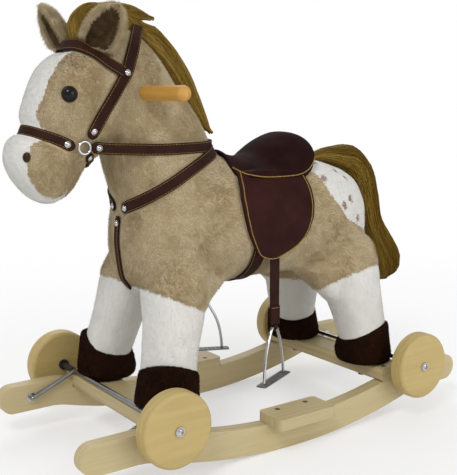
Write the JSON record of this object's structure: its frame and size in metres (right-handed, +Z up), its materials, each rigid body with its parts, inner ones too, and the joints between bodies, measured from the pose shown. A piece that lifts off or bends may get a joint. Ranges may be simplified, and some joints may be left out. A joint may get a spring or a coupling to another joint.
{
  "type": "ride-on rocking horse",
  "caption": "Stuffed ride-on horse with saddle, bridle and stirrups on wooden rockers, with hinged wheel frames that fold down under the rockers for rolling.",
  "frame": {"origin": "on the floor, under the middle of the overall box", "axes": "+X the way the horse faces, +Y the horse's left, +Z up"},
  "size_m": [0.6275, 0.3288, 0.5521],
  "materials": {
    "pine": "sanded pine",
    "wheel_wood": "sanded and sealed",
    "handle_wood": "clear varnish",
    "plywood": "raw",
    "steel": "satin",
    "black": "matt",
    "chrome": "polished",
    "tan_plush": "short pile plush",
    "white_plush": "short pile plush",
    "brown_plush": "short pile plush",
    "hair": "long pile",
    "eye": "glossy",
    "leather": "smooth with gold edging"
  },
  "bodies": {
    "horse": {"rocker_left": "pine", "rocker_right": "pine", "front_slat": "pine", "rear_slat": "pine", "footrest_left": "pine", "footrest_right": "pine", "handle_bar": "handle_wood", "spine_board": "plywood", "leg_post_front_left": "plywood", "leg_post_front_right": "plywood", "leg_post_rear_left": "plywood", "leg_post_rear_right": "plywood", "neck_post": "plywood", "base_screws": "steel", "pivot_ferrules": "steel", "leg_bolts": "steel", "bridle_rings": "chrome", "tack_rivets": "chrome", "torso": "tan_plush", "neck": "tan_plush", "head": "tan_plush", "ear_left": "tan_plush", "ear_right": "tan_plush", "leg_front_left": "white_plush", "leg_front_right": "white_plush", "leg_rear_left": "white_plush", "leg_rear_right": "white_plush", "hoof_front_left": "brown_plush", "hoof_front_right": "brown_plush", "hoof_rear_left": "brown_plush", "hoof_rear_right": "brown_plush", "forelock": "hair", "mane": "hair", "tail": "hair", "eyes": "eye", "nostrils": "eye", "saddle_seat": "leather", "saddle_flap_left": "leather", "saddle_flap_right": "leather", "girth_strap": "leather", "breast_strap": "leather", "chest_strap": "leather", "noseband": "leather", "headstall": "leather", "browband": "leather", "reins": "leather"},
    "front_wheel_frame": {"front_axle_frame": "steel", "front_axle_sleeves": "black", "front_hub_caps": "chrome"},
    "rear_wheel_frame": {"rear_axle_frame": "steel", "rear_axle_sleeves": "black", "rear_hub_caps": "chrome"},
    "front_left_wheel": {"wheel_front_left": "wheel_wood"},
    "front_right_wheel": {"wheel_front_right": "wheel_wood"},
    "rear_left_wheel": {"wheel_rear_left": "wheel_wood"},
    "rear_right_wheel": {"wheel_rear_right": "wheel_wood"},
    "left_stirrup_leather": {"stirrup_leather_left": "leather"},
    "right_stirrup_leather": {"stirrup_leather_right": "leather"},
    "left_stirrup": {"stirrup_iron_left": "steel"},
    "right_stirrup": {"stirrup_iron_right": "steel"}
  },
  "joints": [
    {"name": "front_wheels_fold", "type": "hinge", "parent": "horse", "child": "front_wheel_frame", "pos_m": [0.252, 0, 0.0505], "axis": [0, 1, 0], "range_deg": [0, 311]},
    {"name": "rear_wheels_fold", "type": "hinge", "parent": "horse", "child": "rear_wheel_frame", "pos_m": [-0.268, 0, 0.0505], "axis": [0, -1, 0], "range_deg": [0, 311]},
    {"name": "front_left_wheel_spin", "type": "hinge", "parent": "front_wheel_frame", "child": "front_left_wheel", "pos_m": [0.1905, 0, 0.07631], "axis": [0, 1, 0], "continuous": true},
    {"name": "front_right_wheel_spin", "type": "hinge", "parent": "front_wheel_frame", "child": "front_right_wheel", "pos_m": [0.1905, 0, 0.07631], "axis": [0, 1, 0], "continuous": true},
    {"name": "rear_left_wheel_spin", "type": "hinge", "parent": "rear_wheel_frame", "child": "rear_left_wheel", "pos_m": [-0.2065, 0, 0.07631], "axis": [0, 1, 0], "continuous": true},
    {"name": "rear_right_wheel_spin", "type": "hinge", "parent": "rear_wheel_frame", "child": "rear_right_wheel", "pos_m": [-0.2065, 0, 0.07631], "axis": [0, 1, 0], "continuous": true},
    {"name": "left_leather_swing", "type": "hinge", "parent": "horse", "child": "left_stirrup_leather", "pos_m": [-0.0052, 0.08092, 0.247], "axis": [0, 1, 0], "range_deg": [-20, 20]},
    {"name": "left_stirrup_swing", "type": "hinge", "parent": "left_stirrup_leather", "child": "left_stirrup", "pos_m": [-0.0052, 0.08092, 0.147], "axis": [0.9063, 0.4226, 0], "range_deg": [-25, 25]},
    {"name": "right_leather_swing", "type": "hinge", "parent": "horse", "child": "right_stirrup_leather", "pos_m": [-0.0052, -0.08092, 0.247], "axis": [0, 1, 0], "range_deg": [-20, 20]},
    {"name": "right_stirrup_swing", "type": "hinge", "parent": "right_stirrup_leather", "child": "right_stirrup", "pos_m": [-0.0052, -0.08092, 0.147], "axis": [0.9063, -0.4226, 0], "range_deg": [-25, 25]}
  ]
}
